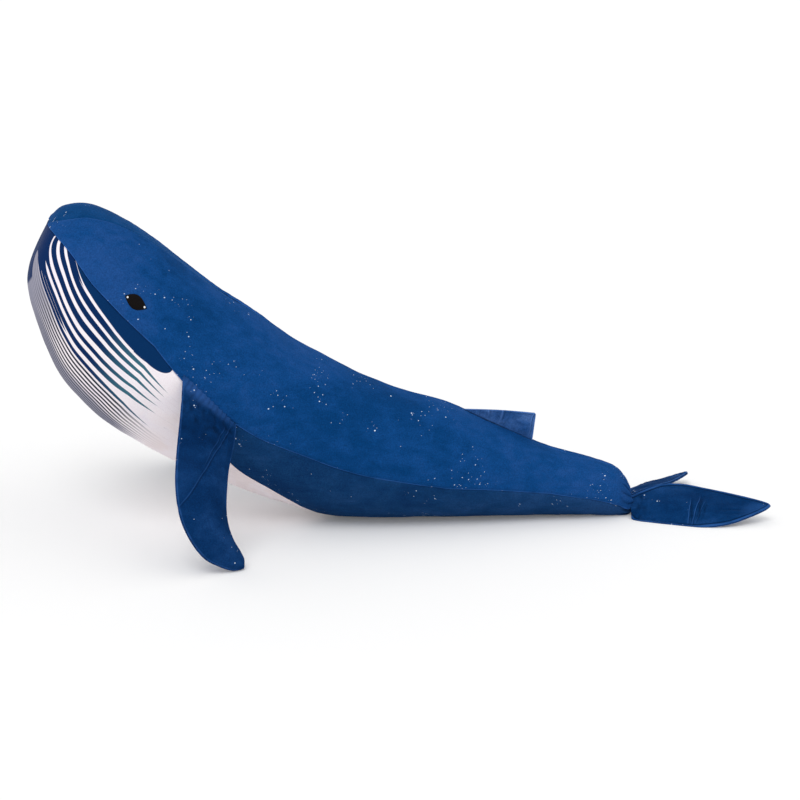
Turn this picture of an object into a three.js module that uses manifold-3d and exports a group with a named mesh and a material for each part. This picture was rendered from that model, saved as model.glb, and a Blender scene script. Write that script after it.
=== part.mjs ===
// Plush whale: short-pile velvet panels sewn over fibrefill, with two flippers, a back fin
// and two fluke lobes.
// Millimetres, +Z up. The head points along -X and the whale's left side along -Y.
import * as THREE from 'three';
import { mergeVertices } from 'three/addons/utils/BufferGeometryUtils.js';
import Module from 'manifold-3d';

const wasm = await Module();
wasm.setup();

// Body sizes
const bodyLength = 740;
const bodyHeight = 378;
const bodyWidth = 212;

// Cloth and sewing
const fabric = 1.8;
const seamGap = 0.3;
const seamTuck = 1.2;
const floorPress = 0.5;
const fillingClear = 1.5;

// Flippers: the sewn root lies in the side seam, the tip rests on the floor
const flipperReach = 163;
const flipperSweep = 185;
const flipperRoot = 86;
const flipperPuff = 10;
const flipperTipRise = 0.6;
const flipperSeat = 1.7;
const flipperSteepest = THREE.MathUtils.degToRad(74);

// Back fin: a soft blade whose top edge runs level to an upright rear edge
const finBase = 101;
const finHeight = 37;
const finPuff = 1.8;
const finSeat = 0.5;

// Flukes: two lobes that meet at the gathered tail end
const flukeLength = 156;
const flukeSpan = 95;
const flukePuff = 4.2;
const flukeSeat = 0.8;
const flukeYaw = THREE.MathUtils.degToRad(17);
const flukeSpread = THREE.MathUtils.degToRad(32);
const flukeTwist = THREE.MathUtils.degToRad(24.5);
const flukeDroop = THREE.MathUtils.degToRad(1.4);
const flukeRise = 20;

// Eyes: embroidered patches on the side panels
const eyeLength = 29;
const eyeWidth = 16.5;
const eyeThickness = 1.4;

// Half thickness of a limb at its sewn outline, and at the pressed seam of its root
const seamRim = 1.2;
const rootRim = 0.7;

// Body stations from the nose to the tail end: top line along and up, bottom line along and up, half width.
// Along is a share of the body length from the chin, up of the body height, and width of half the body width.
const stationShares = [
  [0.032, 0.934, 0.032, 0.934, 0.00],
  [0.038, 0.960, 0.022, 0.899, 0.19],
  [0.058, 0.992, 0.000, 0.775, 0.51],
  [0.095, 1.000, 0.020, 0.603, 0.77],
  [0.132, 0.974, 0.051, 0.468, 0.92],
  [0.188, 0.905, 0.082, 0.394, 0.98],
  [0.246, 0.818, 0.122, 0.320, 1.00],
  [0.303, 0.732, 0.172, 0.257, 0.99],
  [0.361, 0.661, 0.235, 0.188, 0.97],
  [0.420, 0.579, 0.309, 0.124, 0.925],
  [0.480, 0.519, 0.393, 0.063, 0.88],
  [0.539, 0.460, 0.477, 0.013, 0.84],
  [0.605, 0.413, 0.574, 0.000, 0.78],
  [0.686, 0.368, 0.669, 0.000, 0.70],
  [0.769, 0.297, 0.761, 0.000, 0.575],
  [0.853, 0.229, 0.850, 0.000, 0.44],
  [0.936, 0.184, 0.935, 0.000, 0.34],
  [0.978, 0.151, 0.978, 0.006, 0.24],
  [0.992, 0.111, 0.990, 0.016, 0.13],
  [1.000, 0.055, 1.000, 0.055, 0.00],
];

// Seams at each station, in degrees round the body from the middle of the back
const gussetAngles = [57, 55, 44, 30, 21, 12, 7, 5, 3, 0, 0, 0, 0, 0, 0, 0, 0, 0, 0, 0];
const sideSeamAngles = [57, 60, 62, 67, 72, 76, 78, 86, 92, 95, 95, 95, 98, 102, 97, 93, 100, 106, 108, 108];

// Stations where the panels begin, end and meet
const nose = 0.08;
const tail = 18.92;
const sideStart = 1;
const gussetEnd = 8.5;
const throatEnd = 8;
const throatTip = 11.3;
const stationRows = [nose, 0.4, 1, 1.5, 2, 2.5, 3, 3.5, 4, 4.5, 5, 6, 6.5, 7, 7.5, 7.75, throatEnd, 8.25,
  gussetEnd, 9, 10, 11, 12, 13, 14, 15, 16, 17, 17.5, 18, 18.5, tail];

const sideColour = 0x184886;
const gussetColour = 0x14416e;
const throatColour = 0xe6e0ea;
const bellyColour = 0x103769;
const flipperColour = 0x0f3870;
const fluffColour = 0xf2f0ea;
const threadColour = 0x17110f;

const velvet = (colour) => new THREE.MeshStandardMaterial({ color: colour, roughness: 0.85, metalness: 0 });
const fluff = new THREE.MeshStandardMaterial({ color: fluffColour, roughness: 0.95, metalness: 0 });
const thread = new THREE.MeshStandardMaterial({ color: threadColour, roughness: 0.45, metalness: 0 });

const whale = new THREE.Group();

// A closed body from a list of vertices and triangles: doubles are merged, flat triangles are dropped
// and the faces turned out
function closedBody(points, triangles) {
  const positions = points.flatMap((point) => [point.x, point.y, point.z]);
  const loose = new THREE.BufferGeometry();
  loose.setAttribute('position', new THREE.Float32BufferAttribute(positions, 3));
  loose.setIndex(triangles);
  const merged = mergeVertices(loose);
  const index = merged.index.array;
  const corner = [new THREE.Vector3(), new THREE.Vector3(), new THREE.Vector3()];
  const kept = [];
  let volume = 0;
  for (let i = 0; i < index.length; i += 3) {
    const [a, b, c] = [index[i], index[i + 1], index[i + 2]];
    if (a === b || b === c || c === a) continue;
    corner.forEach((vertex, k) => vertex.fromBufferAttribute(merged.attributes.position, index[i + k]));
    volume += corner[0].dot(corner[1].cross(corner[2]));
    kept.push(a, b, c);
  }
  if (volume < 0) {
    for (let i = 0; i < kept.length; i += 3) [kept[i], kept[i + 1]] = [kept[i + 1], kept[i]];
  }
  merged.setIndex(kept);
  return merged;
}

// A sheet of cloth with a face, a back and a rim, from grids of points
function sheetBody(face, back) {
  const rows = face.length;
  const columns = face[0].length;
  const points = [...face.flat(), ...back.flat()];
  const at = (layer, i, j) => layer * rows * columns + i * columns + j;
  const triangles = [];
  const quad = (a, b, c, d) => triangles.push(a, b, c, a, c, d);
  for (let i = 0; i < rows - 1; i += 1) {
    for (let j = 0; j < columns - 1; j += 1) {
      quad(at(0, i, j), at(0, i, j + 1), at(0, i + 1, j + 1), at(0, i + 1, j));
      quad(at(1, i, j), at(1, i + 1, j), at(1, i + 1, j + 1), at(1, i, j + 1));
    }
    quad(at(0, i + 1, 0), at(1, i + 1, 0), at(1, i, 0), at(0, i, 0));
    quad(at(0, i, columns - 1), at(1, i, columns - 1), at(1, i + 1, columns - 1), at(0, i + 1, columns - 1));
  }
  for (let j = 0; j < columns - 1; j += 1) {
    quad(at(0, 0, j), at(1, 0, j), at(1, 0, j + 1), at(0, 0, j + 1));
    quad(at(0, rows - 1, j + 1), at(1, rows - 1, j + 1), at(1, rows - 1, j), at(0, rows - 1, j));
  }
  return closedBody(points, triangles);
}

// A solid through a row of closed rings, with a fan over each end
function loftBody(rings) {
  const count = rings[0].length;
  const points = rings.flat();
  const triangles = [];
  for (let i = 0; i < rings.length - 1; i += 1) {
    for (let j = 0; j < count; j += 1) {
      const next = (j + 1) % count;
      const [a, b, c, d] = [i * count + j, i * count + next, (i + 1) * count + next, (i + 1) * count + j];
      triangles.push(a, b, c, a, c, d);
    }
  }
  [[0, 1], [rings.length - 1, -1]].forEach(([ring, turn]) => {
    const middle = new THREE.Vector3();
    rings[ring].forEach((point) => middle.addScaledVector(point, 1 / count));
    points.push(middle);
    for (let j = 0; j < count; j += 1) {
      const [a, b] = [ring * count + j, ring * count + ((j + 1) % count)];
      triangles.push(points.length - 1, turn > 0 ? b : a, turn > 0 ? a : b);
    }
  });
  return closedBody(points, triangles);
}

function toSolid(geometry) {
  return new wasm.Manifold(new wasm.Mesh({
    numProp: 3,
    vertProperties: geometry.attributes.position.array,
    triVerts: new Uint32Array(geometry.index.array),
  }));
}

function toGeometry(solid) {
  const mesh = solid.getMesh();
  const geometry = new THREE.BufferGeometry();
  geometry.setAttribute('position', new THREE.BufferAttribute(mesh.vertProperties, 3));
  geometry.setIndex(new THREE.BufferAttribute(mesh.triVerts, 1));
  return geometry;
}

// What presses into the floor is cut flat there
function cutAtFloor(geometry) {
  const floor = new THREE.BoxGeometry(bodyLength * 3, bodyWidth * 6, bodyHeight);
  floor.translate(0, 0, -bodyHeight / 2);
  floor.deleteAttribute('normal');
  floor.deleteAttribute('uv');
  return toGeometry(toSolid(geometry).subtract(toSolid(mergeVertices(floor))));
}

function addPiece(name, geometry, material) {
  const shown = geometry.index ? geometry.toNonIndexed() : geometry;
  shown.computeVertexNormals();
  const mesh = new THREE.Mesh(shown, material);
  mesh.name = name;
  whale.add(mesh);
}

// The body as a loft: each station is a section between a point of the top line and one of the bottom line
const topLine = new THREE.CatmullRomCurve3(stationShares.map(([along, up, , , width]) => new THREE.Vector3(
  (along - 0.5) * bodyLength, width * bodyWidth / 2, up * bodyHeight - floorPress)), false, 'centripetal');
const bottomLine = new THREE.CatmullRomCurve3(stationShares.map(([, , along, up]) => new THREE.Vector3(
  (along - 0.5) * bodyLength, 0, up * bodyHeight - floorPress)), false, 'centripetal');
const lastStation = stationShares.length - 1;
const capStations = [3, 16.5];

function tableAt(table, station) {
  const low = Math.min(Math.floor(station), lastStation - 1);
  return THREE.MathUtils.lerp(table[low], table[low + 1], station - low);
}

function sectionCentre(station) {
  const top = topLine.getPoint(station / lastStation);
  const bottom = bottomLine.getPoint(station / lastStation);
  return new THREE.Vector3((top.x + bottom.x) / 2, 0, (top.z + bottom.z) / 2);
}

// A point of the skin at a station and an angle in degrees from the middle of the back, positive to the
// left side. Depth goes in toward the body's middle line, and in the round ends toward the end's middle.
function bodyPoint(station, degrees, depth = 0) {
  const top = topLine.getPoint(station / lastStation);
  const bottom = bottomLine.getPoint(station / lastStation);
  const angle = THREE.MathUtils.degToRad(degrees);
  const point = new THREE.Vector3((top.x - bottom.x) / 2, 0, (top.z - bottom.z) / 2);
  point.multiplyScalar(Math.cos(angle)).add(sectionCentre(station));
  point.y = -Math.sin(angle) * top.y;
  const inward = sectionCentre(THREE.MathUtils.clamp(station, ...capStations)).sub(point).normalize();
  return point.addScaledVector(inward, depth);
}

function radiusAt(station, degrees) {
  return bodyPoint(station, degrees).distanceTo(sectionCentre(station));
}

// Half of the gap between two panels, in degrees round the body
function gapAngle(station, degrees) {
  return THREE.MathUtils.radToDeg(seamGap / 2 / radiusAt(station, degrees));
}

// A panel of the skin: rows of stations and columns across, its sewn edges tucked in
function skinPanel(rows, columns, stationAt, angleAt, tuckedRow) {
  const grid = (layer) => rows.map((row, i) => columns.map((column, j) => {
    const station = stationAt(row, column);
    const edge = j === 0 || j === columns.length - 1 || i === tuckedRow;
    return bodyPoint(station, angleAt(station, column), (edge ? seamTuck : 0) + layer * fabric);
  }));
  return sheetBody(grid(0), grid(1));
}

const sideColumnShares = [0, 0.04, 0.16, 0.32, 0.5, 0.68, 0.84, 0.96, 1];
const gussetColumnShares = [-1, -0.86, -0.45, 0, 0.45, 0.86, 1];
const underHalfShares = [0.16, 0.33, 0.5, 0.66, 0.82, 0.95, 1];
const underColumnShares = [...underHalfShares.map((share) => -share).reverse(), 0, ...underHalfShares];

// Side panels, cut for the left and mirrored for the right
const sides = [['left', 1], ['right', -1]];
sides.forEach(([side, turn]) => {
  const rows = stationRows.filter((station) => station >= sideStart);
  const angleAt = (station, share) => {
    const upper = tableAt(gussetAngles, station);
    const lower = tableAt(sideSeamAngles, station);
    const from = upper + gapAngle(station, upper);
    return turn * THREE.MathUtils.lerp(from, lower - gapAngle(station, lower), share);
  };
  const panel = skinPanel(rows, sideColumnShares, (station) => station, angleAt);
  addPiece(`${side}_side_panel`, panel, velvet(sideColour));
});

// The gusset runs over the head between the side panels and ends in a point behind it
const gussetRows = stationRows.filter((station) => station <= gussetEnd);
const gusset = skinPanel(gussetRows, gussetColumnShares, (station) => station, (station, share) => {
  const seam = tableAt(gussetAngles, station);
  return share * (seam - gapAngle(station, seam));
});
addPiece('back_gusset', gusset, velvet(gussetColour));

// Under the body the pale throat panel ends in a tongue, and the dark belly panel starts round it
function underAngle(station, share) {
  const seam = tableAt(sideSeamAngles, station);
  return 180 + share * (180 - seam - gapAngle(station, seam));
}

const tongueAt = (share) => (
  THREE.MathUtils.lerp(throatEnd, throatTip, (1 + Math.cos(Math.PI * share)) / 2));
const tongueGap = 1.5 * seamGap / (bodyLength / lastStation);

const throatRows = stationRows.filter((station) => station <= throatEnd);
const throat = skinPanel(throatRows, underColumnShares, (row, share) => {
  const stretch = ((row - nose) / (throatEnd - nose)) ** 3;
  return row + stretch * (tongueAt(share) - tongueGap - throatEnd);
}, underAngle, throatRows.length - 1);
addPiece('throat_panel', cutAtFloor(throat), velvet(throatColour));

const bellyRows = stationRows.filter((station) => station >= throatEnd);
const belly = skinPanel(bellyRows, underColumnShares, (row, share) => {
  const stretch = ((tail - row) / (tail - throatEnd)) ** 3;
  return row + stretch * (tongueAt(share) + tongueGap - throatEnd);
}, underAngle, 0);
addPiece('belly_panel', cutAtFloor(belly), velvet(bellyColour));

// Fibrefill of the body in three lengths, each close to convex
const fillingDepth = fabric + seamTuck + fillingClear;
const fillingSides = 20;
const fillingRing = (station) => Array.from({ length: fillingSides }, (_, j) => (
  bodyPoint(station, j * 360 / fillingSides, fillingDepth)));
const fillingGap = 2 * seamGap / (bodyLength / lastStation);
[
  ['head_filling', [0.4, 1, 1.5, 2, 2.5, 3, 3.5, 4, 5, 6, 7]],
  ['trunk_filling', [7 + fillingGap, 8, 9, 10, 11, 12 - fillingGap]],
  ['tail_filling', [12, 13, 14, 15, 16, 17, 17.5, 18, 18.5]],
].forEach(([name, stations]) => addPiece(name, loftBody(stations.map(fillingRing)), fluff));

// A stuffed limb: two leaves of cloth sewn round their outline over a lens of fibrefill.
// Rows run from the sewn root to the tip, and columns from the leading edge to the trailing edge.
const limbRowShares = [0, 0.06, 0.17, 0.3, 0.43, 0.56, 0.69, 0.81, 0.93, 1];
const finRowShares = [0, 0.2, 0.5, 0.8, 1];
const limbColumnShares = [0, 0.1, 0.3, 0.5, 0.7, 0.9, 1];

function outlineCurve(shares, along, out) {
  return new THREE.SplineCurve(shares.map(([p, q]) => new THREE.Vector2(p * along, q * out)));
}

// Half the thickness: thin at the root and along the outline, swelling to the limb's puff between them
function halfThickness(limb, row, column) {
  if (row === 0) return rootRim;
  const grown = THREE.MathUtils.lerp(limb.rootShare, 1, Math.min(1, row / limb.growthShare));
  const past = Math.max(0, (row - limb.growthShare) / (1 - limb.growthShare));
  return seamRim + limb.puff * grown * Math.sqrt(1 - past ** 2) * Math.sin(Math.PI * column) ** 0.75;
}

function limbGrid(limb, rows, columns, liftAt) {
  return rows.map((row) => columns.map((column) => {
    const spot = limb.leading.getPoint(row).lerp(limb.trailing.getPoint(row), column);
    return limb.place(spot.x, spot.y, liftAt(halfThickness(limb, row, column)));
  }));
}

function limbLeaf(limb, turn) {
  const face = limbGrid(limb, limb.rows, limbColumnShares, (half) => turn * half);
  const back = limbGrid(limb, limb.rows, limbColumnShares, (half) => (
    turn * Math.max(half - fabric, seamGap / 2)));
  return sheetBody(face, back);
}

function limbFilling(limb) {
  const rows = limb.rows.slice(2, -1);
  const columns = limbColumnShares.slice(1, -1);
  const inside = (half) => Math.max(half - fabric - seamGap, seamGap / 2);
  const upper = limbGrid(limb, rows, columns, inside);
  return sheetBody(upper, limbGrid(limb, rows, columns, (half) => -inside(half)));
}

const mirrored = (place, turn) => (...spot) => {
  const point = place(...spot);
  point.y *= turn;
  return point;
};

// Flippers. The root line lies on the side seam, and the blade leans out until its tip reaches the floor.
const flipperRootStations = [6.9, 8.45];
const flipperRootAngles = [82, 94];
const flipperLeadingShares = [[0, 0], [0.12, 0.25], [0.245, 0.53], [0.35, 0.73], [0.475, 0.885],
  [0.61, 0.97], [0.75, 1.0], [0.865, 0.963], [0.95, 0.914], [1, 0.85]];
const flipperTrailingShares = [[0.465, 0], [0.52, 0.135], [0.575, 0.31], [0.63, 0.44], [0.70, 0.577],
  [0.77, 0.67], [0.85, 0.73], [0.925, 0.76], [0.973, 0.79], [1, 0.85]];

const rootFront = bodyPoint(flipperRootStations[0], flipperRootAngles[0]);
const rootRear = bodyPoint(flipperRootStations[1], flipperRootAngles[1]);
const rootDirection = rootRear.clone().sub(rootFront).normalize();
const outward = new THREE.Vector3(rootDirection.y, -rootDirection.x, 0).normalize();
const rootStart = rootFront.clone().add(rootRear).multiplyScalar(0.5);
rootStart.addScaledVector(rootDirection, -flipperRoot / 2).addScaledVector(outward, flipperSeat);
const downward = new THREE.Vector3().crossVectors(rootDirection, outward);
if (downward.z > 0) downward.negate();
const tipShare = flipperLeadingShares.at(-1);
const tipDrop = rootStart.z + rootDirection.z * tipShare[0] * flipperSweep - flipperTipRise;
// A flipper too short to reach the floor hangs against the throat
const tipFall = -downward.z * tipShare[1] * flipperReach;
const leanSine = Math.min(Math.sin(flipperSteepest), tipDrop / tipFall);
const bladeDirection = downward.clone().multiplyScalar(leanSine);
bladeDirection.addScaledVector(outward, Math.sqrt(1 - leanSine ** 2));
const bladeNormal = new THREE.Vector3().crossVectors(bladeDirection, rootDirection).normalize();

const placeFlipper = (p, q, lift) => rootStart.clone().addScaledVector(rootDirection, p)
  .addScaledVector(bladeDirection, q).addScaledVector(bladeNormal, lift);

sides.forEach(([side, turn]) => {
  const flipper = {
    rows: limbRowShares,
    leading: outlineCurve(flipperLeadingShares, flipperSweep, flipperReach),
    trailing: outlineCurve(flipperTrailingShares, flipperSweep, flipperReach),
    puff: flipperPuff,
    rootShare: 0.1,
    growthShare: 0.35,
    place: mirrored(placeFlipper, turn),
  };
  addPiece(`${side}_flipper_outer_panel`, cutAtFloor(limbLeaf(flipper, 1)), velvet(flipperColour));
  addPiece(`${side}_flipper_inner_panel`, cutAtFloor(limbLeaf(flipper, -1)), velvet(flipperColour));
  addPiece(`${side}_flipper_filling`, limbFilling(flipper), fluff);
});

// Back fin: its rows run up from the base, its columns from the front point to the upright rear edge
const finStations = [13.2, 14.75];
const finLeadingShares = [[0, 0], [0.21, 0.24], [0.435, 0.5], [0.65, 0.74], [0.83, 0.95], [0.865, 1]];
const finTrailingShares = [[1, 0], [0.975, 0.25], [0.945, 0.5], [0.915, 0.76], [0.89, 0.96], [0.876, 1]];
const finFront = bodyPoint(finStations[0], 0);
const finRear = bodyPoint(finStations[1], 0);
const finAlong = finRear.clone().sub(finFront).normalize();
const finUp = new THREE.Vector3(-finAlong.z, 0, finAlong.x);
const finStart = finFront.clone().addScaledVector(finUp, finSeat);
const fin = {
  rows: finRowShares,
  leading: outlineCurve(finLeadingShares, finBase, finHeight),
  trailing: outlineCurve(finTrailingShares, finBase, finHeight),
  puff: finPuff,
  rootShare: 0.15,
  growthShare: 0.3,
  place: (p, q, lift) => finStart.clone().addScaledVector(finAlong, p).addScaledVector(finUp, q)
    .add(new THREE.Vector3(0, -lift, 0)),
};
addPiece('fin_left_panel', limbLeaf(fin, 1), velvet(sideColour));
addPiece('fin_right_panel', limbLeaf(fin, -1), velvet(sideColour));

// Flukes. Both lobes turn about one line behind the tail end, meet along the middle up to the notch,
// and twist and droop so that the leading edge rests low.
const flukeLeadingShares = [[0, 0.31], [0.02, 0.38], [0.07, 0.47], [0.15, 0.60], [0.26, 0.74],
  [0.39, 0.86], [0.58, 0.955], [0.77, 0.965], [0.93, 0.945], [1, 0.915]];
const flukeTrailingShares = [[0, 0], [0.11, 0], [0.22, 0], [0.33, 0.01], [0.48, 0.105], [0.62, 0.285],
  [0.75, 0.465], [0.88, 0.66], [0.965, 0.80], [1, 0.87]];
const innerShift = seamGap / 2 + seamRim * Math.sin(flukeTwist);
const tailEnd = bodyPoint(lastStation, 0);
const flukeAxis = new THREE.Vector3(Math.cos(flukeYaw), Math.sin(flukeYaw), 0);
const flukeRootPoint = new THREE.Vector3(tailEnd.x, 0, flukeRise).addScaledVector(flukeAxis, flukeSeat);

sides.forEach(([side, turn]) => {
  const lateral = new THREE.Vector3(flukeAxis.y, -flukeAxis.x, 0).multiplyScalar(turn);
  const lobeAxis = flukeAxis.clone().multiplyScalar(Math.cos(flukeSpread));
  lobeAxis.addScaledVector(lateral, Math.sin(flukeSpread));
  const up = new THREE.Vector3(0, 0, 1).applyAxisAngle(lobeAxis, turn * flukeTwist);
  const place = (p, q, lift) => {
    const offAxis = q * Math.cos(flukeSpread) - p * Math.sin(flukeSpread);
    const fall = offAxis * Math.tan(flukeTwist) + p * Math.tan(flukeDroop);
    return flukeRootPoint.clone().addScaledVector(flukeAxis, p).addScaledVector(lateral, q + innerShift)
      .add(new THREE.Vector3(0, 0, -fall)).addScaledVector(up, lift);
  };
  const lobe = {
    rows: limbRowShares,
    leading: outlineCurve(flukeLeadingShares, flukeLength, flukeSpan),
    trailing: outlineCurve(flukeTrailingShares, flukeLength, flukeSpan),
    puff: flukePuff,
    rootShare: 0.3,
    growthShare: 0.35,
    place,
  };
  addPiece(`${side}_fluke_upper_panel`, cutAtFloor(limbLeaf(lobe, 1)), velvet(sideColour));
  addPiece(`${side}_fluke_lower_panel`, cutAtFloor(limbLeaf(lobe, -1)), velvet(sideColour));
  addPiece(`${side}_fluke_filling`, limbFilling(lobe), fluff);
});

// Eyes: stitched almond patches that lie on the side panels
const eyeStation = 5.17;
const eyeAngle = 64;
const eyeRowShares = [-1, -0.8, -0.4, 0, 0.4, 0.8, 1];
const eyeColumnShares = [-1, -0.5, 0, 0.5, 1];
const eyePitch = bodyPoint(eyeStation - 0.5, eyeAngle).distanceTo(bodyPoint(eyeStation + 0.5, eyeAngle));
const eyeDegrees = THREE.MathUtils.radToDeg(eyeWidth / 2 / radiusAt(eyeStation, eyeAngle));

sides.forEach(([side, turn]) => {
  const grid = (depthAt) => eyeRowShares.map((row) => eyeColumnShares.map((column) => {
    const station = eyeStation + row * eyeLength / 2 / eyePitch;
    const degrees = eyeAngle + column * eyeDegrees * Math.cos(Math.PI / 2 * row * 0.9);
    return bodyPoint(station, turn * degrees, depthAt((1 - row ** 2) * (1 - column ** 2)));
  }));
  const face = grid((crown) => -seamGap - eyeThickness * THREE.MathUtils.lerp(0.5, 1, crown));
  addPiece(`${side}_eye`, sheetBody(face, grid(() => -seamGap)), thread);
});

// The origin is under the middle of the object, on the floor
whale.updateMatrixWorld(true);
const bounds = new THREE.Box3().setFromObject(whale);
const middle = bounds.getCenter(new THREE.Vector3());
whale.position.set(-middle.x, -middle.y, -bounds.min.z);

export default whale;
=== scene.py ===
"""A large plush whale of short-pile velvet, lying on its belly with its head raised on two flippers."""

import math

import bmesh
import bpy
import numpy as np
from mathutils import Matrix, Vector, noise


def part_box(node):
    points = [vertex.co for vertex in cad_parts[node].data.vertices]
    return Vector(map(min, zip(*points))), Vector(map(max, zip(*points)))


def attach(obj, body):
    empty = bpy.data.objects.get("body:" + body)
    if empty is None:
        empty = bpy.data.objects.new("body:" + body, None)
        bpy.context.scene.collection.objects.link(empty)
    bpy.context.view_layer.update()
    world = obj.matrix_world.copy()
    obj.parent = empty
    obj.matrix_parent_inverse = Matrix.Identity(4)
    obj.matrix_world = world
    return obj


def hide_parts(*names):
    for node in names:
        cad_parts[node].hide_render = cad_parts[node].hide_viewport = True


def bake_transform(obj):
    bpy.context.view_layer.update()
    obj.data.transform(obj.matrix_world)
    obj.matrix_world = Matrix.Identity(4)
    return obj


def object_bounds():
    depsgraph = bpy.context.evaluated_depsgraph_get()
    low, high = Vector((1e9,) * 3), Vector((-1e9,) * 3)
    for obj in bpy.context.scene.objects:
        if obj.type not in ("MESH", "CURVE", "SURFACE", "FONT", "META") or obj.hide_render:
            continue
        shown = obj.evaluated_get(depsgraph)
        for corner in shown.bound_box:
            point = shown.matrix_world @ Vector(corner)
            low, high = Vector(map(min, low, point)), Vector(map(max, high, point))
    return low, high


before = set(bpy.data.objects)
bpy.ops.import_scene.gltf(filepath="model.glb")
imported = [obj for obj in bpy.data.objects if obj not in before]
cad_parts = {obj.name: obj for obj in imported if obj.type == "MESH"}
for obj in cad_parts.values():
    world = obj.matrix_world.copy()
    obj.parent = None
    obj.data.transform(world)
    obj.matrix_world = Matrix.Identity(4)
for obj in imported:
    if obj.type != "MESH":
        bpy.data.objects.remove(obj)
cad_low, cad_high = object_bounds()

# Camera: a long lens a little above the whale, looking slightly from its head end, and turned a little about its view.
camera_azimuth = math.radians(-9)
camera_elevation = math.radians(15)
camera_roll = math.radians(2.7)
camera_distance = 2.3
lens_length, sensor_width = 85, 36
chin_to_aim, aim_height = 0.4449, 0.145
chin_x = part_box("throat_panel")[0].x
camera_aim = Vector((chin_x + chin_to_aim, 0, aim_height))

back = Vector((
    math.sin(camera_azimuth) * math.cos(camera_elevation),
    -math.cos(camera_azimuth) * math.cos(camera_elevation),
    math.sin(camera_elevation),
))
level_right = Vector((math.cos(camera_azimuth), math.sin(camera_azimuth), 0))
level_up = back.cross(level_right)
right = level_right * math.cos(camera_roll) + level_up * math.sin(camera_roll)
up = level_up * math.cos(camera_roll) - level_right * math.sin(camera_roll)


def put_in_scene(name, data):
    thing = bpy.data.objects.new(name, data)
    bpy.context.scene.collection.objects.link(thing)
    return thing


camera_data = bpy.data.cameras.new("camera")
camera_data.lens = lens_length
camera_data.sensor_width = sensor_width
camera = put_in_scene("camera", camera_data)
camera_turn = Matrix((right, up, back)).transposed().to_4x4()
camera.matrix_world = Matrix.Translation(camera_aim + back * camera_distance) @ camera_turn
bpy.context.scene.camera = camera

# Studio: a wide white floor, an even white room that lights the whale softly, and one large soft lamp from the
# front left above its head. The room looks white to the camera and lights the whale at a plainer level.
room_light = 0.82
lamp_strength = 0.95
lamp_softness = math.radians(35)
lamp_direction = Vector((-0.45, -0.75, 1.25))
white = (1, 1, 1, 1)
floor_paint_white = (0.88, 0.88, 0.88, 1)
floor_glow = 0.09
floor_reach = 60


def add_node(tree, kind, values=None, **settings):
    """A new node. A value that comes out of another node is linked, and any other is set."""
    node = tree.nodes.new("ShaderNode" + kind)
    for name, value in settings.items():
        setattr(node, name, value)
    for name, value in (values or {}).items():
        if isinstance(value, bpy.types.NodeSocket):
            tree.links.new(value, node.inputs[name])
        else:
            node.inputs[name].default_value = value
    return node


def new_material(name, values):
    """A new material with these values set on its shader, its nodes and the shader."""
    material = bpy.data.materials.new(name)
    material.use_nodes = True
    shader = material.node_tree.nodes["Principled BSDF"]
    for socket, value in values.items():
        shader.inputs[socket].default_value = value
    return material, material.node_tree, shader


def finished_mesh(name, form):
    mesh = bpy.data.meshes.new(name)
    form.to_mesh(mesh)
    form.free()
    return mesh


world = bpy.data.worlds.new("white_room")
world.use_nodes = True
room = world.node_tree
room.nodes.clear()
rays = add_node(room, "LightPath").outputs
seen_or_glossy = add_node(room, "Math", {0: rays["Is Camera Ray"], 1: rays["Is Glossy Ray"]}, operation="MAXIMUM")
soft_room = add_node(room, "Background", {"Color": white, "Strength": room_light})
seen_room = add_node(room, "Background", {"Color": white})
room_mix = add_node(room, "MixShader", {0: seen_or_glossy.outputs[0], 1: soft_room.outputs[0], 2: seen_room.outputs[0]})
add_node(room, "OutputWorld", {"Surface": room_mix.outputs[0]})
bpy.context.scene.world = world

lamp_data = bpy.data.lights.new("soft_lamp", "SUN")
lamp_data.energy = lamp_strength
lamp_data.angle = lamp_softness
lamp = put_in_scene("soft_lamp", lamp_data)
lamp.rotation_euler = lamp_direction.to_track_quat("Z", "Y").to_euler()
bpy.context.scene.view_settings.view_transform = "Standard"

floor_form = bmesh.new()
bmesh.ops.create_grid(floor_form, x_segments=1, y_segments=1, size=floor_reach)
floor = put_in_scene("floor", finished_mesh("floor", floor_form))
floor_paint, paint_nodes, floor_shader = new_material("white_floor", {
    "Base Color": floor_paint_white, "Roughness": 0.9, "Specular IOR Level": 0.1, "Emission Color": white})
seen = add_node(paint_nodes, "LightPath").outputs["Is Camera Ray"]
glow = add_node(paint_nodes, "Math", {0: seen, 1: floor_glow}, operation="MULTIPLY")
paint_nodes.links.new(glow.outputs[0], floor_shader.inputs["Emission Strength"])
floor.data.materials.append(floor_paint)

# Body skin: five panels of short-pile velvet sewn edge to edge over the fibrefill and stuffed tight. A station is a
# section of the body between a point of its top line and one of its bottom line, and an angle runs round that section
# from the middle of the back, positive to the whale's left. Shares are of the body's length, height and half width.
floor_press = 0.0005
body_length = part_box("belly_panel")[1].x - chin_x
body_height = cad_high.z + floor_press
half_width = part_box("right_side_panel")[1].y

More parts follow.
